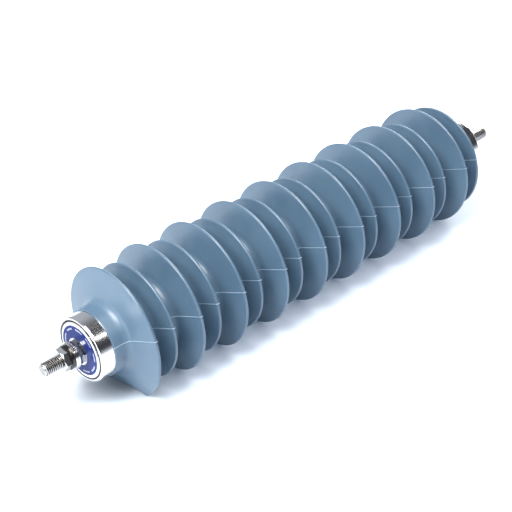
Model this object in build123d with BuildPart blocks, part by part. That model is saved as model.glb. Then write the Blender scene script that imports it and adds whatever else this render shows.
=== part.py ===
"""Polymer-housed distribution surge arrester with alternating large and small sheds.

The arrester lies on its sheds with its axis along X. The line end, where the nameplate, washers
and nuts are, points to -X, and the earth end to +X. The origin is on the floor, below the middle
of the overall length. All sizes are in millimetres.
"""

import os
from math import cos, radians, tan

from build123d import *

# Silicone housing: a round trunk with pairs of sheds, one large and one small in each pair. The
# small shed stands a little nearer to the line end than the middle between two large ones.
shed_pairs = 9
shed_pitch = 48.0
small_shed_shift = 0.7
large_shed_dia = 117.0
small_shed_dia = 104.2
skirt_cover = 1.1
shed_rim_radius = 1.4
shed_top_slope = 13.0
shed_under_slope = 3.0
shed_top_root_radius = 7.0
shed_under_root_radius = 3.0
line_neck = 22.1
earth_neck = 19.0
neck_edge_radius = 0.6

# The soft large sheds give way by this much where they lie on the floor.
shed_sag = 3.4

# Zinc-oxide varistor blocks, as many as the tube has room for, and the aluminium spacers that take
# up the rest. Spacers are cut to share that rest, each as near to spacer_height as it goes.
block_dia = 42.0
block_height = 36.0
block_edge = 0.8
spacer_height = 8.0
least_spacer_room = 6.0
spacer_edge = 0.8

# Disc springs that press the stack together, and the plate that spreads their load.
spring_count = 4
spring_inset = 1.0
spring_hole_dia = 20.4
spring_thickness = 2.25
spring_cone = 0.8
spring_plate_thickness = 3.0

# Glass-fibre tube that holds the stack and carries the tension.
tube_wall = 4.6

# Stamped stainless end caps, with a pressed ring groove near the edge of the flat end.
cap_wall = 1.8
cap_show = 13.2
cap_skirt = 8.0
cap_corner_radius = 1.8
cap_groove_inset = 2.8
cap_groove_width = 1.0
cap_groove_depth = 0.8

# Aluminium end electrodes: a flange on the tube's end and a plug with a seal groove in its bore.
flange_thickness = 6.0
plug_chamfer = 1.0
electrode_floor = 5.0
seal_section = 2.1
seal_play = 1.1
seal_from_flange = 8.0

# M12 terminal studs, with a plain neck between the thread that is screwed in and the free one.
stud_dia = 12.0
stud_chamfer = 1.4
stud_screwed_in = 19.0
stud_neck_depth = 0.6
stud_neck_in = 2.0
stud_neck_out = 1.0
line_stud_out = 38.2
earth_stud_out = 40.5

# Nameplate and fasteners of the line terminal, from the cap outwards.
nameplate_dia = 45.6
nameplate_thickness = 0.6
washer_dia = 24.0
washer_thickness = 2.0
lug_washer_count = 2
nut_across_flats = 18.0
nut_thickness = 6.0
nut_chamfer_angle = 30.0
clamp_nut_turn = 42.5
lug_nut_turn = -1.6
spring_washer_dia = 21.1
spring_washer_thickness = 2.5
spring_washer_split = 1.6
split_slant = 20.0
split_turn = 250.0

# Clearances, each on the radius or between two faces.
stack_gap = 1.4
plug_gap = 0.1
cap_gap = 0.2
moulding_gap = 0.1
tapped_gap = 2.0
thread_gap = 0.05
cap_hole_gap = 0.5
nameplate_gap = 0.75
washer_gap = 0.5
spring_washer_gap = 0.1

# Radii, from the varistor blocks outwards. Each piece fits round the one before it.
block_radius = block_dia / 2
spring_radius = block_radius - spring_inset
tube_bore_radius = block_radius + stack_gap
tube_radius = tube_bore_radius + tube_wall
plug_radius = tube_bore_radius - plug_gap
cap_bore_radius = tube_radius + cap_gap
cap_radius = cap_bore_radius + cap_wall
skirt_bore_radius = cap_radius + moulding_gap
trunk_radius = skirt_bore_radius + skirt_cover
large_shed_radius = large_shed_dia / 2
small_shed_radius = small_shed_dia / 2
stud_radius = stud_dia / 2
tapped_radius = stud_radius + thread_gap

# Depths of the ends, measured inwards from the caps' flat ends.
tapped_end = cap_wall + stud_screwed_in + tapped_gap
flange_end = cap_wall + flange_thickness
plug_end = tapped_end + electrode_floor

# Places along X, measured from the middle of the overall length.
small_shed_offset = shed_pitch / 2 - small_shed_shift
sheds_length = (shed_pairs - 1) * shed_pitch + small_shed_offset
housing_length = line_neck + sheds_length + earth_neck
caps_length = housing_length + 2 * cap_show
overall_length = line_stud_out + caps_length + earth_stud_out
line_face_x = line_stud_out - overall_length / 2
earth_face_x = line_face_x + caps_length
housing_start_x = line_face_x + cap_show
tube_start_x = line_face_x + flange_end
tube_end_x = earth_face_x - flange_end
stack_start_x = line_face_x + plug_end
stack_end_x = earth_face_x - plug_end

# Everything round is turned about one line, above the floor by the height of the sagging sheds.
axis_height = large_shed_radius - shed_sag
turning_axis = Axis((0, 0, axis_height), (1, 0, 0))

# Half-section planes of the two ends: X runs inwards from the cap's flat end, Y is the radius.
line_plane = Plane(origin=(line_face_x, 0, axis_height), x_dir=(1, 0, 0), z_dir=(0, -1, 0))
earth_plane = Plane(origin=(earth_face_x, 0, axis_height), x_dir=(-1, 0, 0), z_dir=(0, 1, 0))


def section_plane(x):
    """Half-section plane at x: its X runs along the arrester's axis and its Y is the radius."""
    return Plane(origin=(x, 0, axis_height), x_dir=(1, 0, 0), z_dir=(0, -1, 0))


def cross_plane(x):
    """Plane across the axis at x, facing +X, with its X along the part's +Y."""
    return Plane(origin=(x, 0, axis_height), x_dir=(0, 1, 0), z_dir=(1, 0, 0))


def save(part, name):
    part.label = name
    export_step(part, f"parts/{name}.step")


os.makedirs("parts", exist_ok=True)


# Silicone housing: one moulding, sheds and trunk together, over the tube and the caps' skirts.
def shed_points(rim_x, radius):
    """Roots and rim of one shed: its top slopes back from the line end, its underside hardly."""
    face_height = radius - shed_rim_radius - trunk_radius
    top_root = (rim_x - shed_rim_radius - face_height * tan(radians(shed_top_slope)), trunk_radius)
    top_edge = (rim_x - shed_rim_radius, radius - shed_rim_radius)
    under_edge = (rim_x + shed_rim_radius, radius - shed_rim_radius)
    under_root = (rim_x + shed_rim_radius + face_height * tan(radians(shed_under_slope)), trunk_radius)
    return top_root, top_edge, (rim_x, radius), under_edge, under_root


sheds = []
for pair in range(shed_pairs):
    large_x = line_neck + pair * shed_pitch
    sheds.append(shed_points(large_x, large_shed_radius))
    sheds.append(shed_points(large_x + small_shed_offset, small_shed_radius))

bore_radius = tube_radius + moulding_gap
skirt_bore_depth = cap_skirt + moulding_gap

with BuildPart() as silicone_housing:
    with BuildSketch(section_plane(housing_start_x)):
        with BuildLine():
            run = [(0, skirt_bore_radius), (0, trunk_radius)]
            root_radii = [neck_edge_radius]
            for top_root, top_edge, rim, under_edge, under_root in sheds:
                FilletPolyline(*run, top_root, top_edge, radius=[*root_radii, shed_top_root_radius])
                ThreePointArc(top_edge, rim, under_edge)
                run = [under_edge, under_root]
                root_radii = [shed_under_root_radius]
            end_corners = [(housing_length, trunk_radius), (housing_length, skirt_bore_radius)]
            FilletPolyline(*run, *end_corners, radius=[*root_radii, neck_edge_radius])
            Polyline(
                (housing_length, skirt_bore_radius),
                (housing_length - skirt_bore_depth, skirt_bore_radius),
                (housing_length - skirt_bore_depth, bore_radius),
                (skirt_bore_depth, bore_radius),
                (skirt_bore_depth, skirt_bore_radius),
                (0, skirt_bore_radius),
            )
        make_face()
    revolve(axis=turning_axis)
    split(bisect_by=Plane.XY, keep=Keep.TOP)

save(silicone_housing.part, "silicone_housing")


# Glass-fibre tube: filament-wound, cut square, between the two electrode flanges.
with BuildPart() as glass_fibre_tube:
    with BuildSketch(cross_plane(tube_start_x)):
        Circle(tube_radius)
        Circle(tube_bore_radius, mode=Mode.SUBTRACT)
    extrude(amount=tube_end_x - tube_start_x)

save(glass_fibre_tube.part, "glass_fibre_tube")


# The two ends are built alike: cap, electrode, seal and stud, each in the end's own plane.
cap_depth = cap_show + cap_skirt
cap_hole_radius = stud_radius + cap_hole_gap
groove_outer_radius = cap_radius - cap_groove_inset + cap_groove_width / 2
groove_inner_radius = groove_outer_radius - cap_groove_width
seal_x = flange_end + seal_from_flange
seal_groove_radius = tube_bore_radius - seal_section
seal_groove_start = seal_x - (seal_section + seal_play) / 2
seal_groove_end = seal_x + (seal_section + seal_play) / 2
seal_radius = (seal_groove_radius + tube_bore_radius) / 2
stud_neck_radius = stud_radius - stud_neck_depth
stud_inner_end = cap_wall + stud_screwed_in

for end_name, end_plane, stud_out in (
    ("line", line_plane, line_stud_out),
    ("earth", earth_plane, earth_stud_out),
):
    # Cap: a stamped cup over the electrode, its skirt moulded into the housing's neck.
    with BuildPart() as end_cap:
        with BuildSketch(end_plane):
            with BuildLine():
                Polyline(
                    (cap_corner_radius, cap_radius),
                    (cap_depth, cap_radius),
                    (cap_depth, cap_bore_radius),
                    (cap_wall, cap_bore_radius),
                    (cap_wall, cap_hole_radius),
                    (0, cap_hole_radius),
                    (0, groove_inner_radius),
                    (cap_groove_depth, groove_inner_radius),
                    (cap_groove_depth, groove_outer_radius),
                    (0, groove_outer_radius),
                    (0, cap_radius - cap_corner_radius),
                )
                TangentArc(
                    (0, cap_radius - cap_corner_radius),
                    (cap_corner_radius, cap_radius),
                    tangent=(0, 1),
                )
            make_face()
        revolve(axis=turning_axis)
    save(end_cap.part, f"{end_name}_cap")

    # Electrode: a turned aluminium plug in the tube, with a flange on its end and a tapped hole.
    with BuildPart() as end_electrode:
        with BuildSketch(end_plane):
            with BuildLine():
                Polyline(
                    (cap_wall, tapped_radius),
                    (cap_wall, tube_radius),
                    (flange_end, tube_radius),
                    (flange_end, plug_radius),
                    (seal_groove_start, plug_radius),
                    (seal_groove_start, seal_groove_radius),
                    (seal_groove_end, seal_groove_radius),
                    (seal_groove_end, plug_radius),
                    (plug_end - plug_chamfer, plug_radius),
                    (plug_end, plug_radius - plug_chamfer),
                    (plug_end, 0),
                    (tapped_end, 0),
                    (tapped_end, tapped_radius),
                    close=True,
                )
            make_face()
        revolve(axis=turning_axis)
    save(end_electrode.part, f"{end_name}_electrode")

    # Seal: an O-ring pressed between the plug's groove and the tube's bore.
    with BuildPart() as end_seal:
        with BuildSketch(end_plane):
            with Locations((seal_x, seal_radius)):
                Circle(seal_section / 2)
        revolve(axis=turning_axis)
    save(end_seal.part, f"{end_name}_seal")

    # Stud: an M12 stud screwed into the electrode, chamfered at its ends and necked at the cap.
    with BuildPart() as end_stud:
        with BuildSketch(end_plane):
            with BuildLine():
                Polyline(
                    (-stud_out, 0),
                    (-stud_out, stud_radius - stud_chamfer),
                    (-stud_out + stud_chamfer, stud_radius),
                    (-stud_neck_out, stud_radius),
                    (-stud_neck_out, stud_neck_radius),
                    (cap_wall + stud_neck_in, stud_neck_radius),
                    (cap_wall + stud_neck_in, stud_radius),
                    (stud_inner_end - stud_chamfer, stud_radius),
                    (stud_inner_end, stud_radius - stud_chamfer),
                    (stud_inner_end, 0),
                    close=True,
                )
            make_face()
        revolve(axis=turning_axis)
    save(end_stud.part, f"{end_name}_stud")


# Stack in the tube, from the line end: disc springs, spring plate, varistor blocks, spacers.
def spring_points(start, opens):
    """Section of one disc spring between start and start plus its height, as a leaning strip."""
    inner_lift = 0 if opens else spring_cone
    outer_lift = spring_cone - inner_lift
    return (
        (start + inner_lift, spring_hole_dia / 2),
        (start + outer_lift, spring_radius),
        (start + outer_lift + spring_thickness, spring_radius),
        (start + inner_lift + spring_thickness, spring_hole_dia / 2),
    )


spring_height = spring_thickness + spring_cone
for number in range(spring_count):
    spring_start = number * spring_height
    with BuildPart() as disc_spring:
        with BuildSketch(section_plane(stack_start_x)):
            with BuildLine():
                Polyline(*spring_points(spring_start, opens=number % 2 == 0), close=True)
            make_face()
        revolve(axis=turning_axis)
    save(disc_spring.part, f"disc_spring_{number + 1}")

spring_plate_x = stack_start_x + spring_count * spring_height
with BuildPart() as spring_plate:
    with BuildSketch(cross_plane(spring_plate_x)):
        Circle(block_radius)
    extrude(amount=spring_plate_thickness)
save(spring_plate.part, "spring_plate")

blocks_x = spring_plate_x + spring_plate_thickness
block_count = int((stack_end_x - blocks_x - least_spacer_room) / block_height)
for number in range(block_count):
    with BuildPart() as varistor_block:
        with BuildSketch(cross_plane(blocks_x + number * block_height)):
            Circle(block_radius)
        extrude(amount=block_height)
        chamfer(varistor_block.edges().filter_by(GeomType.CIRCLE), block_edge)
    save(varistor_block.part, f"varistor_block_{number + 1:02d}")

spacers_x = blocks_x + block_count * block_height
spacer_room = stack_end_x - spacers_x
spacer_count = round(spacer_room / spacer_height)
spacer_length = spacer_room / spacer_count
for number in range(spacer_count):
    with BuildPart() as earth_spacer:
        with BuildSketch(cross_plane(spacers_x + number * spacer_length)):
            Circle(block_radius)
        extrude(amount=spacer_length)
        chamfer(earth_spacer.edges().filter_by(GeomType.CIRCLE), spacer_edge)
    save(earth_spacer.part, f"earth_spacer_{number + 1}")


# Line terminal, from the cap outwards. Each piece starts where the one below it ends.
def ring(outer_dia, stud_gap, base_x, thickness):
    """A flat ring round the stud that stands on base_x and is thick towards the line end."""
    with BuildPart() as flat_ring:
        with BuildSketch(cross_plane(base_x - thickness)):
            Circle(outer_dia / 2)
            Circle(stud_radius + stud_gap, mode=Mode.SUBTRACT)
        extrude(amount=thickness)
    return flat_ring.part


def hex_nut(base_x, turn):
    """A thin hexagon nut that stands on base_x, chamfered on both faces, a corner at turn."""
    corner_radius = nut_across_flats / 2 / cos(radians(30))
    chamfer_length = (corner_radius - nut_across_flats / 2) * tan(radians(nut_chamfer_angle))
    with BuildPart() as nut:
        with BuildSketch(cross_plane(base_x - nut_thickness)):
            RegularPolygon(corner_radius, 6, rotation=turn)
            Circle(tapped_radius, mode=Mode.SUBTRACT)
        extrude(amount=nut_thickness)
        with BuildSketch(section_plane(base_x - nut_thickness)):
            with BuildLine():
                Polyline(
                    (0, 0),
                    (0, nut_across_flats / 2),
                    (chamfer_length, corner_radius),
                    (nut_thickness - chamfer_length, corner_radius),
                    (nut_thickness, nut_across_flats / 2),
                    (nut_thickness, 0),
                    close=True,
                )
            make_face()
        revolve(axis=turning_axis, mode=Mode.INTERSECT)
    return nut.part


# Nameplate: a thin ring that the clamp nut and its washer hold on the cap's flat end.
save(ring(nameplate_dia, nameplate_gap, line_face_x, nameplate_thickness), "nameplate")

plate_washer_x = line_face_x - nameplate_thickness
save(ring(washer_dia, washer_gap, plate_washer_x, washer_thickness), "plate_washer")

clamp_nut_x = plate_washer_x - washer_thickness
save(hex_nut(clamp_nut_x, clamp_nut_turn), "clamp_nut")

# Two flat washers for the cable lug, a split spring washer and the nut that presses them.
lug_washers_x = clamp_nut_x - nut_thickness
for number in range(lug_washer_count):
    lug_washer_x = lug_washers_x - number * washer_thickness
    save(ring(washer_dia, washer_gap, lug_washer_x, washer_thickness), f"lug_washer_{number + 1}")

spring_washer_x = lug_washers_x - lug_washer_count * washer_thickness
split_length = spring_washer_dia / 2 - stud_radius
split_middle = (spring_washer_dia / 2 + stud_radius) / 2
with BuildPart() as spring_washer:
    add(ring(spring_washer_dia, spring_washer_gap, spring_washer_x, spring_washer_thickness))
    with Locations(cross_plane(spring_washer_x - spring_washer_thickness / 2)):
        with PolarLocations(split_middle, 1, start_angle=split_turn):
            Box(
                2 * split_length,
                spring_washer_split,
                3 * spring_washer_thickness,
                rotation=(split_slant, 0, 0),
                mode=Mode.SUBTRACT,
            )
save(spring_washer.part, "spring_washer")

lug_nut_x = spring_washer_x - spring_washer_thickness
save(hex_nut(lug_nut_x, lug_nut_turn), "lug_nut")
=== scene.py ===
import math

import bmesh
import bpy
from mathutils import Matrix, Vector


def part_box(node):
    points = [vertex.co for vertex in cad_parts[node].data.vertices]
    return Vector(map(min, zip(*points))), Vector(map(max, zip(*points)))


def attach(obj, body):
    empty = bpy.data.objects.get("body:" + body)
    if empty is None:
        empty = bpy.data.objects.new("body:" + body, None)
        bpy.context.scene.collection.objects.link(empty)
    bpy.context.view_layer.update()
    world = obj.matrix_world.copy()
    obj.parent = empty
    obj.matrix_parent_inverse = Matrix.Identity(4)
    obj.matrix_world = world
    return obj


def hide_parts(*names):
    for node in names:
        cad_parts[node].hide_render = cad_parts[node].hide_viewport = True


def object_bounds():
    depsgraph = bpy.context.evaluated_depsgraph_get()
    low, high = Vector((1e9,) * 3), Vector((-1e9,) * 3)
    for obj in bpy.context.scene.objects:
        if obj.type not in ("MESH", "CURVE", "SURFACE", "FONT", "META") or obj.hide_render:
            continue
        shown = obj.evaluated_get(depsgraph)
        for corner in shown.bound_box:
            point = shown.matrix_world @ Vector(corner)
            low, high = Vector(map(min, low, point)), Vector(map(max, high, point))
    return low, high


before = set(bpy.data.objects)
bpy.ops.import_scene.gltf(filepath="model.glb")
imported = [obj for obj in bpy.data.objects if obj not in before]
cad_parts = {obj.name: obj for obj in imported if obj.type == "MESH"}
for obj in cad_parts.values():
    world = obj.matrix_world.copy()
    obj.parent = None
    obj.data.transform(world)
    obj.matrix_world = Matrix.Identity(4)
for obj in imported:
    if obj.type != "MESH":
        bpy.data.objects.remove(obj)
cad_low, cad_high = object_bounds()


# ---- Varistor blocks -------------------------------------------------------------------------
# The arrester's active part is a stack of sintered zinc-oxide discs, pressed together in the tube.
# They are pressed from a dark powder and fired. The flat ends stay matt and the sides are glazed.
glaze_grey = (0.045, 0.048, 0.052, 1)
grain_grey = (0.110, 0.112, 0.115, 1)
grain_scale = 1400
grain_detail = 4.0
grain_height = 0.00004
glaze_thickness = 0.0006
matt_roughness = 0.62
glaze_gloss = 0.42


class Wire:
    """One output of a shader node. Arithmetic on wires adds the Math nodes that work it out."""

    def __init__(self, finish, socket):
        self.finish = finish
        self.socket = socket

    def maths(self, operation, *values):
        sockets = dict(enumerate((self, *values)))
        return self.finish.node("Math", {"operation": operation}, sockets)

    def __add__(self, other):
        return self.maths("ADD", other)

    def __mul__(self, other):
        return self.maths("MULTIPLY", other)

    def __sub__(self, other):
        return self.maths("SUBTRACT", other)

    def __rsub__(self, other):
        return self.maths("MULTIPLY_ADD", -1, other)

    def ramp(self, start, end, low=0.0, high=1.0):
        """low up to start and high from end on, with a smooth step between them."""
        sockets = {0: self, 1: start, 2: end, 3: low, 4: high}
        return self.finish.node("MapRange", {"interpolation_type": "SMOOTHSTEP"}, sockets)

    def colours(self, low, high):
        """The colour low where the wire is 0 and high where it is 1."""
        # The Mix node has a socket of each kind for every data type. These are its colour ones.
        return self.finish.node("Mix", {"data_type": "RGBA"}, {0: self, 6: low, 7: high}, 2)


class Finish:
    """The material of one kind of piece, with places measured in metres in the part's frame."""

    def __init__(self, name):
        self.material = bpy.data.materials.new(name)
        self.material.use_nodes = True
        self.tree = self.material.node_tree
        self.tree.nodes.clear()

    def node(self, kind, settings=None, sockets=None, output=0):
        """Adds a node: its settings first, then the values or wires of its sockets."""
        node = self.tree.nodes.new("ShaderNode" + kind)
        for name, value in (settings or {}).items():
            setattr(node, name, value)
        for name, value in (sockets or {}).items():
            if isinstance(value, Wire):
                self.tree.links.new(value.socket, node.inputs[name])
            else:
                node.inputs[name].default_value = value
        return Wire(self, node.outputs[output]) if node.outputs else None

    def place(self):
        """The place of the point that is shaded."""
        return self.node("TexCoord", output="Object")

    def component(self, place, axis):
        """X, Y or Z of a place, as axis is 0, 1 or 2."""
        return self.node("SeparateXYZ", sockets={0: place}, output=axis)

    def along(self):
        """How far along the arrester's axis the place lies."""
        return self.component(self.place(), 0)

    def radius(self):
        """How far from the arrester's axis the place lies."""
        across = self.component(self.place(), 1)
        up = self.component(self.place(), 2) - axis_height
        return (across * across + up * up).maths("SQRT")

    def angle(self):
        """The place's angle round the arrester's axis, from straight across."""
        up = self.component(self.place(), 2) - axis_height
        return up.maths("ARCTAN2", self.component(self.place(), 1))

    def distance(self, centre):
        """How far the place lies from a centre."""
        return self.node("VectorMath", {"operation": "DISTANCE"}, {0: self.place(), 1: centre}, 1)

    def join(self, x, y, z):
        """A place put together from its X, Y and Z."""
        return self.node("CombineXYZ", sockets={0: x, 1: y, 2: z})

    def noise(self, scale, detail=3.0, place=None, roughness=0.5):
        """Soft irregular mottling, with that many features to the metre."""
        vector = place or self.place()
        return self.node("TexNoise", sockets={
            "Vector": vector, "Scale": scale, "Detail": detail, "Roughness": roughness,
        })

    def bump(self, height, distance):
        """A normal for a surface that rises by distance where height is 1."""
        return self.node("Bump", sockets={"Height": height, "Distance": distance, "Strength": 1.0})

    def surface(self, sockets):
        """The finished material, from the sockets of its shader."""
        shader = self.node("BsdfPrincipled", sockets=sockets)
        self.node("OutputMaterial", sockets={"Surface": shader})
        return self.material


def dress(node, material):
    """Gives a CAD node that keeps its own shape its finish."""
    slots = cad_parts[node].data.materials
    slots.clear()
    slots.append(material)


tube_low, tube_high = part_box("glass_fibre_tube")
axis_height = (tube_low.z + tube_high.z) / 2
block_low, block_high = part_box("varistor_block_01")
block_radius = (block_high.y - block_low.y) / 2

sinter = Finish("zinc_oxide")
grain = sinter.noise(grain_scale, grain_detail)
glazed = sinter.radius().ramp(block_radius - glaze_thickness, block_radius - glaze_thickness / 4)
zinc_oxide = sinter.surface({
    "Base Color": (grain * (1 - glazed)).colours(glaze_grey, grain_grey),
    "Roughness": matt_roughness - glazed * glaze_gloss,
    "Normal": sinter.bump(grain, grain_height),
})
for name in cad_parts:
    if name.startswith("varistor_block"):
        dress(name, zinc_oxide)


# ---- Disc springs and their plate ------------------------------------------------------------
# Four cupped springs of tempered steel keep the stack pressed while it warms and cools. They and
# the plate that spreads their load are phosphated and oiled.
oiled_dark = (0.060, 0.058, 0.055, 1)
oiled_light = (0.150, 0.145, 0.140, 1)
mottle_scale = 320
mottle_detail = 5.0
mottle_coarseness = 0.6
mottle_contrast = (0.35, 0.65)
scratch_scale = 2600
scratch_detail = 2.0
scratch_height = 0.00001
phosphate_metal = 0.85
oiled_roughness = 0.28
oiled_spread = 0.25

tempered = Finish("spring_steel")
mottle = tempered.noise(mottle_scale, mottle_detail, roughness=mottle_coarseness)
scratch = tempered.noise(scratch_scale, scratch_detail)
spring_steel = tempered.surface({
    "Base Color": mottle.ramp(*mottle_contrast).colours(oiled_dark, oiled_light),
    "Metallic": phosphate_metal,
    "Roughness": mottle * oiled_spread + oiled_roughness,
    "Normal": tempered.bump(scratch, scratch_height),
})
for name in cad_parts:
    if name.startswith("disc_spring") or name == "spring_plate":
        dress(name, spring_steel)


# ---- Electrodes and spacers ------------------------------------------------------------------
# Both electrodes and the spacers are turned from aluminium bar. The tool leaves fine rings on
# their faces and a fine thread-like lay on their sides.
turned_light = (0.78, 0.79, 0.80, 1)
turned_dark = (0.60, 0.61, 0.63, 1)
tool_feed = 0.00012
tool_mark_height = 0.000004
cloud_scale = 180
cloud_share = 0.6
turned_roughness = 0.24
turned_spread = 0.12

turned = Finish("electrode_aluminium")
tool_path = turned.along() + turned.radius()
lay = (tool_path * (2 * math.pi / tool_feed)).maths("SINE") * 0.5 + 0.5
cloud = turned.noise(cloud_scale)
brightness = cloud * cloud_share + lay * (1 - cloud_share)
electrode_aluminium = turned.surface({
    "Base Color": brightness.colours(turned_dark, turned_light),
    "Metallic": 1.0,
    "Roughness": cloud * turned_spread + turned_roughness,
    "Normal": turned.bump(lay, tool_mark_height),
})
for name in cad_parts:
    if name.endswith("_electrode") or name.startswith("earth_spacer"):
        dress(name, electrode_aluminium)


# ---- Seals -----------------------------------------------------------------------------------
# A black rubber ring in each electrode's groove keeps the damp out. It is moulded and lightly
# greased.
seal_black = (0.010, 0.010, 0.011, 1)
seal_dull = (0.028, 0.028, 0.030, 1)
smear_scale = 700
smear_height = 0.00003
smear_contrast = (0.4, 0.6)
greasy_roughness = 0.25
dry_roughness = 0.55

greased = Finish("seal_rubber")
smear = greased.noise(smear_scale)
seal_rubber = greased.surface({
    "Base Color": smear.colours(seal_black, seal_dull),
    "Roughness": smear.ramp(*smear_contrast, greasy_roughness, dry_roughness),
    "Normal": greased.bump(smear, smear_height),
})
for name in ("line_seal", "earth_seal"):
    dress(name, seal_rubber)


# ---- Glass-fibre tube ------------------------------------------------------------------------
# The tube holds the stack and carries the pull of the line. It is wound from glass-fibre rovings
# wetted with epoxy resin, which cross each other at a steep angle.
resin_amber = (0.42, 0.36, 0.13, 1)
roving_pale = (0.68, 0.62, 0.36, 1)
roving_width = 0.0030
winding_lead = 0.6
roving_height = 0.00008
resin_roughness = 0.42
roving_gloss = 0.15

wound = Finish("glass_fibre")
arc = wound.angle() * wound.radius()
lead = wound.along() * winding_lead
one_way = ((lead + arc) * (2 * math.pi / roving_width)).maths("SINE")
other_way = ((lead - arc) * (2 * math.pi / roving_width)).maths("SINE")
weave = one_way.maths("MAXIMUM", other_way) * 0.5 + 0.5
glass_fibre = wound.surface({
    "Base Color": weave.colours(resin_amber, roving_pale),
    "Roughness": resin_roughness - weave * roving_gloss,
    "Normal": wound.bump(weave, roving_height),
})
dress("glass_fibre_tube", glass_fibre)


# ---- Terminal studs --------------------------------------------------------------------------
# Each stud is a length of stainless bar with a rolled M12 thread, screwed into its electrode. The
# thread has rounded roots and chamfered ends; its roots are coloured dark as painted shade beside
# its bright crests.
stud_radius = 0.006
thread_pitch = 0.00175
thread_depth = 0.00107
thread_flat = 0.00028
thread_fullness = 0.8
thread_crease = math.radians(40)
thread_rows = 12
spare_turns = 2
stud_chamfer = 0.0014
stud_columns = 60
steel_bright = (0.60, 0.588, 0.570, 1)
steel_painted_shade = (0.085, 0.080, 0.075, 1)
shade_depth = 0.0007
bright_depth = 0.0001
wear_scale = 900
wear_height = 0.00001
stud_roughness = 0.20
stud_spread = 0.12
same_place = 1e-6
least_edge = 1e-7


def smooth_mesh(name, vertices, faces, crease):
    """A new object from vertices and faces, smooth but for edges that bend by more than crease."""
    mesh = bpy.data.meshes.new(name)
    mesh.from_pydata(vertices, [], faces)
    shape = bmesh.new()
    shape.from_mesh(mesh)
    bmesh.ops.remove_doubles(shape, verts=shape.verts, dist=same_place)
    bmesh.ops.dissolve_degenerate(shape, dist=least_edge, edges=shape.edges)
    bmesh.ops.recalc_face_normals(shape, faces=shape.faces)
    for edge in shape.edges:
        edge.smooth = not edge.is_manifold or edge.calc_face_angle(0) < crease
    for face in shape.faces:
        face.smooth = True
    shape.to_mesh(mesh)
    shape.free()
    piece = bpy.data.objects.new(name, mesh)
    bpy.context.collection.objects.link(piece)
    return piece


def thread_radius(turns):
    """Radius of the stud at a place of that many turns along its thread."""
    rise = abs((turns % 1.0) - 0.5) * 2
    blunt = thread_flat / thread_pitch
    slope = min(max((rise - blunt) / (1 - 2 * blunt), 0), 1)
    return stud_radius - thread_depth * (0.5 - 0.5 * math.cos(math.pi * slope)) ** thread_fullness


def threaded_stud(name, node):
    """A stud in the place of its CAD node, its helix cut into a bar between its two ends."""
    low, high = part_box(node)
    rows = (int((high.x - low.x) / thread_pitch) + spare_turns) * thread_rows + 1
    vertices = []
    for column in range(stud_columns):
        part_turn = column / stud_columns
        turn = part_turn * 2 * math.pi
        for row in range(rows):
            turns = row / thread_rows
            x = min(max(low.x + (turns - 1 + part_turn) * thread_pitch, low.x), high.x)
            bevel = stud_radius - stud_chamfer + min(x - low.x, high.x - x)
            r = min(thread_radius(turns), bevel)
            vertices.append((x, r * math.cos(turn), axis_height + r * math.sin(turn)))
    faces = []
    for column in range(stud_columns):
        shift = thread_rows if column == stud_columns - 1 else 0
        after = (column + 1) % stud_columns
        for row in range(rows - 1 - shift):
            here, there = column * rows + row, after * rows + row + shift
            faces.append((here, here + 1, there + 1, there))
    faces.append([column * rows for column in range(stud_columns)])
    faces.append([column * rows + rows - 1 for column in range(stud_columns)])
    return smooth_mesh(name, vertices, faces, thread_crease)


rolled = Finish("stud_steel")
# Painted shade: the thread's roots are coloured dark, its crests and tip bright.
crest = rolled.radius().ramp(stud_radius - shade_depth, stud_radius - bright_depth)
off_middle = rolled.along().maths("ABSOLUTE")
tip = off_middle.ramp(cad_high.x - stud_chamfer, cad_high.x - stud_chamfer / 2)
wear = rolled.noise(wear_scale)
stud_steel = rolled.surface({
    "Base Color": crest.maths("MAXIMUM", tip).colours(steel_painted_shade, steel_bright),
    "Metallic": 1.0,
    "Roughness": wear * stud_spread + stud_roughness,
    "Normal": rolled.bump(wear, wear_height),
})
for name in ("line_stud", "earth_stud"):
    stud = threaded_stud(name + "_threaded", name)
    stud.data.materials.append(stud_steel)
    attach(stud, "root")
    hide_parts(name)


# ---- End caps --------------------------------------------------------------------------------
# A cup pressed from stainless sheet closes each end. Its side is polished, and a ring groove is
# pressed into its flat end near the edge. The groove is coloured near black as painted shade.
polish_light = (0.86, 0.855, 0.85, 1)
polish_dark = (0.74, 0.735, 0.73, 1)
groove_painted_shade = (0.020, 0.020, 0.022, 1)
groove_radius = 0.0259
groove_half = 0.00060
groove_fade = 1.5
groove_roughness = 0.3
polish_roughness = 0.14
haze_spread = 0.03
buffing_spread = 0.02
haze_scale = 60
buffing_scale = 5000
buffing_round = 6
buffing_height = 0.0000005

polished = Finish("cap_steel")
radius = polished.radius()
along, angle = polished.along(), polished.angle()
buffed = polished.join(along * buffing_scale, radius * buffing_scale, angle * buffing_round)
buffing = polished.noise(1.0, place=buffed)
haze = polished.noise(haze_scale)
# Painted shade: the groove is coloured near black and made rougher.
off_groove = (radius - groove_radius).maths("ABSOLUTE")
in_groove = off_groove.ramp(groove_half, groove_half * groove_fade, 1.0, 0.0)
marks = haze * haze_spread + buffing * buffing_spread
cap_steel = polished.surface({
    "Base Color": in_groove.colours(haze.colours(polish_dark, polish_light), groove_painted_shade),
    "Metallic": 1.0,
    "Roughness": marks + in_groove * groove_roughness + polish_roughness,
    "Normal": polished.bump(buffing, buffing_height),
})
for name in ("line_cap", "earth_cap"):
    dress(name, cap_steel)


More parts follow.
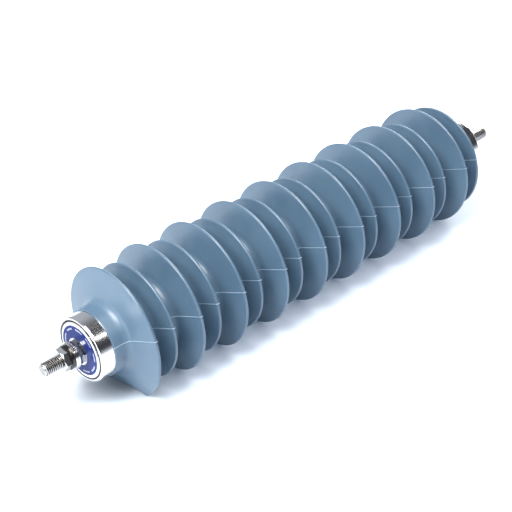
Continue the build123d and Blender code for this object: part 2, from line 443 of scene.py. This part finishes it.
# ---- Silicone housing ------------------------------------------------------------------------
# The sheds and the trunk are one moulding of blue-grey silicone rubber, cast round the tube and
# the caps' skirts. The mould parts in a plane through the axis and leaves a thin raised line of
# flash, with a nib on every rim. The soft sheds give way where they lie on the floor.
shed_pairs = 9
shed_pitch = 0.048
small_shed_shift = 0.0007
trunk_radius = 0.0302
small_shed_radius = 0.0521
line_neck = 0.0221
neck_edge = 0.0006
rim_radius = 0.0014
top_slope = math.radians(13)
under_slope = math.radians(3)
top_root = 0.007
under_root = 0.003
skirt_depth = 0.0081
skirt_bore = 0.0291
tube_bore = 0.0271
flash_angle = math.radians(159.3)
flash_half_width = 0.00023
flash_fade = (0.6, 1.2)
flash_height = 0.00022
nib_height = 0.0009
flex_root = 0.0332
first_heading = math.radians(-28)
first_lean = 0.0075
first_swell = 0.0041
swell_spread = math.radians(12)
shed_lean = 0.0018
lean_spread = math.radians(29)
least_cosine = 0.1
shed_reach = 0.02
columns_round = 136
top_root_steps = 7
under_root_steps = 5
top_face_steps = 5
under_face_steps = 6
rim_steps = 12
moulding_crease = math.radians(32)
rubber_blue = (0.062, 0.112, 0.168, 1)
rubber_pale = (0.078, 0.135, 0.195, 1)
flash_pale = (0.30, 0.38, 0.46, 1)
rubber_roughness = 0.31
rubber_index = 1.65
bloom_scale = 26
bloom_detail = 4.0
bloom_contrast = (0.3, 0.7)
bloom_spread = 0.10
skin_scale = 1500
skin_spread = 0.06
skin_height = 0.000012


def rounded(corners, radii, steps):
    """Points of a path with its inner corners rounded, from its first corner to its last."""
    points = [Vector(corners[0])]
    for before, corner, after, round_radius in zip(corners, corners[1:], corners[2:], radii):
        corner = Vector(corner)
        to_before = (Vector(before) - corner).normalized()
        to_after = (Vector(after) - corner).normalized()
        half = to_before.angle(to_after) / 2
        middle = corner + (to_before + to_after).normalized() * (round_radius / math.sin(half))
        start = corner + to_before * (round_radius / math.tan(half)) - middle
        end = corner + to_after * (round_radius / math.tan(half)) - middle
        sweep = start.angle_signed(end)
        for step in range(steps + 1):
            share = sweep * step / steps
            cos, sin = math.cos(-share), math.sin(-share)
            turned_start = start.x * cos - start.y * sin, start.x * sin + start.y * cos
            points.append(middle + Vector(turned_start))
    points.append(Vector(corners[-1]))
    return points


def lined(start, end, steps):
    """The points between start and end that divide the way into equal steps."""
    return [start.lerp(end, step / steps) for step in range(1, steps)]


housing_low, housing_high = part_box("silicone_housing")
large_shed_radius = (housing_high.y - housing_low.y) / 2
housing_length = housing_high.x - housing_low.x
housing_start = housing_low.x
small_shed_offset = shed_pitch / 2 - small_shed_shift


def housing_outline():
    """Outline of the moulding from one skirt to the other: (x, radius, number of the shed)."""
    outline = []
    run = [(0, skirt_bore), (0, trunk_radius)]
    radii = [neck_edge]
    for number in range(2 * shed_pairs):
        large = number % 2 == 0
        shed_radius = large_shed_radius if large else small_shed_radius
        rim_x = line_neck + number // 2 * shed_pitch + (0 if large else small_shed_offset)
        top_x, under_x = rim_x - rim_radius, rim_x + rim_radius
        edge = shed_radius - rim_radius
        face = edge - trunk_radius
        run += [(top_x - face * math.tan(top_slope), trunk_radius), (top_x, edge)]
        points = rounded(run, [*radii, top_root], top_root_steps)
        points[-1:] = lined(points[-2], points[-1], top_face_steps) + points[-1:]
        before_shed = rim_x - shed_reach
        outline += [(p.x, p.y, number if p.x > before_shed else number - 1) for p in points]
        for step in range(1, rim_steps):
            turn = math.pi * step / rim_steps
            x, r = rim_x - rim_radius * math.cos(turn), edge + rim_radius * math.sin(turn)
            outline.append((x, r, number))
        under_start = Vector((under_x, edge))
        under_foot = Vector((under_x + face * math.tan(under_slope), trunk_radius))
        under_face = lined(under_start, under_foot, under_face_steps)
        outline += [(p.x, p.y, number) for p in [under_start, *under_face[:-1]]]
        run = [tuple(under_face[-1]), tuple(under_foot)]
        radii = [under_root]
    run += [(housing_length, trunk_radius), (housing_length, skirt_bore)]
    points = rounded(run, [*radii, neck_edge], under_root_steps)
    outline += [(p.x, p.y, number) for p in points]
    return outline


def flexed(x, r, turn, number):
    """The place of a point of the moulding once its large sheds give way on the floor."""
    x += housing_start
    if number % 2 or r < flex_root:
        return x, r * math.cos(turn), axis_height + r * math.sin(turn)
    down = math.remainder(turn + math.pi / 2, 2 * math.pi)
    first = number == 0
    heading = first_heading if first else 0.0
    lean = (first_lean if first else shed_lean) * math.exp(-((down - heading) / lean_spread) ** 2)
    swell = first_swell * first * math.exp(-((down - heading) / swell_spread) ** 2)
    to_floor = axis_height / max(math.cos(down), least_cosine)
    reach = min(large_shed_radius + swell, to_floor)
    share = (r - flex_root) / (large_shed_radius - flex_root)
    r = flex_root + share * (reach - flex_root)
    return x + lean * share ** 2, r * math.cos(turn), max(axis_height + r * math.sin(turn), 0.0)


def moulded_housing():
    """The moulding turned from its outline, its flash lines standing up between close columns."""
    outline = housing_outline()
    outer = len(outline)
    far_skirt = housing_length - skirt_depth
    inner = [
        (far_skirt, skirt_bore), (far_skirt, tube_bore),
        (skirt_depth, tube_bore), (skirt_depth, skirt_bore),
    ]
    outline += [(x, r, -1) for x, r in inner]
    count = len(outline)
    turns = [flash_angle + math.pi * 2 * step / columns_round for step in range(columns_round)]
    columns = []
    for step, base in enumerate(turns):
        if step in (0, columns_round // 2):
            columns += [(base, -1, False), (base, 0, True), (base, 1, False)]
        else:
            columns.append((base, 0, False))
    vertices = []
    for base, side, raised in columns:
        for index, (x, r, number) in enumerate(outline):
            turn = base + side * flash_half_width / r
            if raised and index < outer:
                x0, r0, _ = outline[max(index - 1, 0)]
                x1, r1, _ = outline[min(index + 1, outer - 1)]
                outward = Vector((r0 - r1, x1 - x0)).normalized()
                rim = (small_shed_radius if number % 2 else large_shed_radius) - rim_radius / 2
                height = nib_height if r > rim else flash_height
                x, r = x + outward.x * height, r + outward.y * height
            vertices.append(flexed(x, r, turn, number))
    faces = []
    for column in range(len(columns)):
        here, there = column * count, (column + 1) % len(columns) * count
        for row in range(count):
            below = (row + 1) % count
            faces.append((here + row, there + row, there + below, here + below))
    return smooth_mesh("moulded_housing", vertices, faces, moulding_crease)


moulded = Finish("silicone_rubber")
angle = moulded.angle()
off_one_line = (angle - flash_angle).maths("ABSOLUTE")
off_other_line = (angle - (flash_angle - math.pi)).maths("ABSOLUTE")
off_flash = off_one_line.maths("MINIMUM", off_other_line) * moulded.radius()
fade_from, fade_to = (flash_half_width * share for share in flash_fade)
on_flash = off_flash.ramp(fade_from, fade_to, 1.0, 0.0)
bloom = moulded.noise(bloom_scale, bloom_detail)
skin = moulded.noise(skin_scale)
body_blue = bloom.ramp(*bloom_contrast).colours(rubber_blue, rubber_pale)
silicone_rubber = moulded.surface({
    "Base Color": on_flash.colours(body_blue, flash_pale),
    "Roughness": bloom * bloom_spread + skin * skin_spread + rubber_roughness,
    "IOR": rubber_index,
    "Normal": moulded.bump(skin, skin_height),
})
housing = moulded_housing()
housing.data.materials.append(silicone_rubber)
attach(housing, "root")
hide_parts("silicone_housing")


# ---- Nameplate -------------------------------------------------------------------------------
# A thin metal ring under the first washer, lacquered a deep blue. It carries no words, only fine
# printed ticks in a broken ring and a pale border.
plate_low, plate_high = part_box("nameplate")
plate_radius = (plate_high.y - plate_low.y) / 2
lacquer_blue = (0.020, 0.034, 0.150, 1)
lacquer_deep = (0.016, 0.028, 0.125, 1)
print_white = (0.78, 0.80, 0.88, 1)
lacquer_scale = 90
lacquer_detail = 2.0
lacquer_height = 0.00001
lacquer_roughness = 0.12
lacquer_spread = 0.06
lacquer_shine = 0.12
border_width = 0.0004
border_blur = 0.0001
tick_radius = 0.0193
tick_half = 0.0008
tick_fade = 0.8
tick_count = 120
tick_contrast = (0.1, 0.5)
group_count = 9
group_contrast = (-0.55, -0.35)

printed = Finish("nameplate_lacquer")
radius, angle = printed.radius(), printed.angle()
lacquer_cloud = printed.noise(lacquer_scale, lacquer_detail)
tick_wave = (angle * tick_count).maths("SINE").ramp(*tick_contrast)
tick_groups = (angle * group_count).maths("SINE").ramp(*group_contrast)
off_ticks = (radius - tick_radius).maths("ABSOLUTE")
tick_band = off_ticks.ramp(tick_half * tick_fade, tick_half, 1.0, 0.0)
ticks = tick_wave * tick_groups * tick_band
border = (radius - (plate_radius - border_width)).ramp(-border_blur, border_blur)
base = lacquer_cloud.colours(lacquer_deep, lacquer_blue)
nameplate_lacquer = printed.surface({
    "Base Color": ticks.maths("MAXIMUM", border).colours(base, print_white),
    "Roughness": lacquer_cloud * lacquer_spread + lacquer_roughness,
    "Specular IOR Level": lacquer_shine,
    "Normal": printed.bump(lacquer_cloud, lacquer_height),
})
dress("nameplate", nameplate_lacquer)


# ---- Washers and nuts ------------------------------------------------------------------------
# Stamped stainless washers, a split spring washer and two thin hexagon nuts hold the nameplate
# and clamp the cable lug between two of the washers. The inner nut is coloured a darker bluish grey
# as a painted reflection, and the spring washer near black as painted shade between the parts.
fastener_light = (0.84, 0.83, 0.82, 1)
fastener_dark = (0.75, 0.74, 0.73, 1)
clamp_reflection_light = (0.30, 0.31, 0.34, 1)
clamp_reflection_dark = (0.20, 0.21, 0.24, 1)
split_painted_shade_light = (0.075, 0.073, 0.070, 1)
split_painted_shade_dark = (0.045, 0.044, 0.042, 1)
seam_painted_shade = (0.020, 0.020, 0.020, 1)
seam_half = 0.00022
seam_fade = 0.7
fastener_roughness = 0.15
clamp_roughness = 0.18
split_roughness = 0.28
satin_scale = 900
satin_contrast = (0.3, 0.7)
satin_spread = 0.05
fine_scale = 3000
fine_detail = 2.0
fine_height = 0.000002


def fastener_finish(name, dark, light, roughness):
    """Satin steel between two tones, with a black line of painted shade where the two lug washers
    meet.
    """
    forged = Finish(name)
    satin = forged.noise(satin_scale)
    fine = forged.noise(fine_scale, fine_detail)
    off_seam = (forged.along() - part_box("lug_washer_1")[0].x).maths("ABSOLUTE")
    # Painted shade: a black line in the gap where the two lug washers meet.
    in_seam = off_seam.ramp(seam_half * seam_fade, seam_half, 1.0, 0.0)
    tone = satin.ramp(*satin_contrast).colours(dark, light)
    return forged.surface({
        "Base Color": in_seam.colours(tone, seam_painted_shade),
        "Metallic": 1.0,
        "Roughness": satin * satin_spread + roughness,
        "Normal": forged.bump(fine, fine_height),
    })


fastener_steel = fastener_finish(
    "fastener_steel", fastener_dark, fastener_light, fastener_roughness
)
# Painted reflection on the inner nut, painted shade on the spring washer.
clamp_steel = fastener_finish("clamp_nut_steel", clamp_reflection_dark, clamp_reflection_light, clamp_roughness)
split_steel = fastener_finish("spring_washer_steel", split_painted_shade_dark, split_painted_shade_light, split_roughness)
for name in ("plate_washer", "lug_washer_1", "lug_washer_2", "lug_nut"):
    dress(name, fastener_steel)
dress("clamp_nut", clamp_steel)
dress("spring_washer", split_steel)


# ---- Floor -----------------------------------------------------------------------------------
# A plain, nearly white table top that the arrester lies on. It glows faintly as painted light that
# lifts its shadows, and more brightly far off. A small spot beside the line stud has a deeper tone,
# and a spot under the line cap is a painted shadow that doesn't glow.
floor_reach = 6.0
floor_drop = 0.0002
floor_crease = math.radians(35)
floor_roughness = 0.6
floor_spread = 0.1
floor_white = (0.80, 0.86, 0.93, 1)
floor_shade = (0.77, 0.835, 0.91, 1)
patch_scale = 3.0
patch_detail = 2.0
deep_place = (-0.325, 0.085, 0)
deep_tone = (0.41, 0.42, 0.43, 1)
deep_reach = (0.04, 0.13)
painted_shadow_place = (-0.212, 0.012, 0)
cap_painted_shadow = (0.45, 0.485, 0.525, 1)
painted_shadow_reach = (0.008, 0.045)
unlit_reach = (0.02, 0.08)
far_reach = (1.0, 2.6)
no_glow = (0, 0, 0, 1)
near_painted_glow = (0.075, 0.100, 0.145, 1)
far_painted_glow = (0.335, 0.355, 0.390, 1)

plaster = Finish("pale_floor")
patch = plaster.noise(patch_scale, patch_detail)
off_deep, off_painted_shadow = plaster.distance(deep_place), plaster.distance(painted_shadow_place)
# Painted shadow: a darker tone on the floor under the line cap.
tone = off_painted_shadow.ramp(*painted_shadow_reach).colours(cap_painted_shadow, patch.colours(floor_shade, floor_white))
# Painted light: the floor glows, faintly near the arrester and more brightly far off, but not in
# the painted shadow.
glow = off_painted_shadow.ramp(*far_reach).colours(near_painted_glow, far_painted_glow)
pale_floor = plaster.surface({
    "Base Color": off_deep.ramp(*deep_reach).colours(deep_tone, tone),
    "Roughness": patch * floor_spread + floor_roughness,
    "Emission Color": off_painted_shadow.ramp(*unlit_reach).colours(no_glow, glow),
    "Emission Strength": 1.0,
})
corners = [(-floor_reach, -floor_reach, 0), (floor_reach, -floor_reach, 0)]
corners += [(floor_reach, floor_reach, 0), (-floor_reach, floor_reach, 0)]
floor = smooth_mesh("floor", corners, [(0, 1, 2, 3)], floor_crease)
floor.location.z = -floor_drop
floor.data.materials.append(pale_floor)


# ---- Light -----------------------------------------------------------------------------------
# A strong soft box stands high off the line end, and a weak one low beside it lights the first
# shed. Two more hang above and in front, one fills in from the earth end, and a small one puts the
# bright band on the line cap. The room is dark in front, above its pale horizon, and pale behind.
room_dark = (0.045, 0.045, 0.055, 1)
room_pale = (0.48, 0.51, 0.565, 1)
room_turn = 0.8
horizon_low = 0.03
horizon_high = 0.18


def soft_box(name, power, size, place, aim):
    """A soft box of that power in watts, turned to what it is aimed at."""
    light = bpy.data.lights.new(name, "AREA")
    light.shape = "RECTANGLE"
    light.size, light.size_y = size
    light.energy = power
    lamp = bpy.data.objects.new(name, light)
    lamp.location = place
    lamp.rotation_mode = "QUATERNION"
    lamp.rotation_quaternion = (Vector(aim) - Vector(place)).to_track_quat("-Z", "Y")
    bpy.context.collection.objects.link(lamp)


class Room(Finish):
    """The light that comes from round the scene, set by the direction that it comes from."""

    def __init__(self, name):
        self.world = bpy.data.worlds.new(name)
        self.world.use_nodes = True
        self.tree = self.world.node_tree
        self.tree.nodes.clear()

    def direction(self):
        """The direction looked in."""
        return self.node("TexCoord", output="Generated")

    def light(self, colour):
        """The finished world, from its colour."""
        background = self.node("Background", sockets={"Color": colour})
        self.node("OutputWorld", sockets={"Surface": background})
        return self.world


soft_box("box_left", power=76, size=(0.9, 1.4), place=(-1.085, -0.095, 1.677), aim=(0, 0, 0))
soft_box("box_low", power=4, size=(0.7, 0.24), place=(-1.3, 0.2, 0.16), aim=(-0.2, 0, 0.08))
soft_box("box_above", power=8, size=(0.8, 0.8), place=(0.07, 0, 2.0), aim=(0, 0, 0))
soft_box("box_front", power=12, size=(0.8, 0.8), place=(0, -0.94, 1.77), aim=(0, 0, 0))
soft_box("box_earth", power=26, size=(1.0, 0.7), place=(1.5, 0.75, 0.62), aim=(0, 0, 0.05))
soft_box("box_right", power=4.5, size=(0.5, 0.5), place=(0.97, -1.07, 1.43), aim=(-0.23, 0, 0))

studio = Room("studio")
behind, above = (studio.component(studio.direction(), axis) for axis in (1, 2))
horizon = above.ramp(horizon_low, horizon_high, 1.0, 0.0)
pale = behind.ramp(0.0, room_turn).maths("MAXIMUM", horizon)
bpy.context.scene.world = studio.light(pale.colours(room_dark, room_pale))
bpy.context.scene.view_settings.view_transform = "Standard"


# ---- Camera ----------------------------------------------------------------------------------
# It looks down on the arrester from the front left through a long lens, with the line end nearest.
camera_azimuth = math.radians(-43.43)
camera_elevation = math.radians(34.99)
camera_distance = 1.2022
camera_lens = 95.67
camera_sensor = 36.0
camera_target = Vector((-0.0491, -0.0067, 0.0604))

back = Vector((
    math.sin(camera_azimuth) * math.cos(camera_elevation),
    -math.cos(camera_azimuth) * math.cos(camera_elevation),
    math.sin(camera_elevation),
))
lens = bpy.data.cameras.new("camera")
lens.sensor_width = camera_sensor
lens.lens = camera_lens
camera = bpy.data.objects.new("camera", lens)
camera.location = camera_target + back * camera_distance
camera.rotation_mode = "QUATERNION"
camera.rotation_quaternion = (-back).to_track_quat("-Z", "Y")
bpy.context.collection.objects.link(camera)
bpy.context.scene.camera = camera
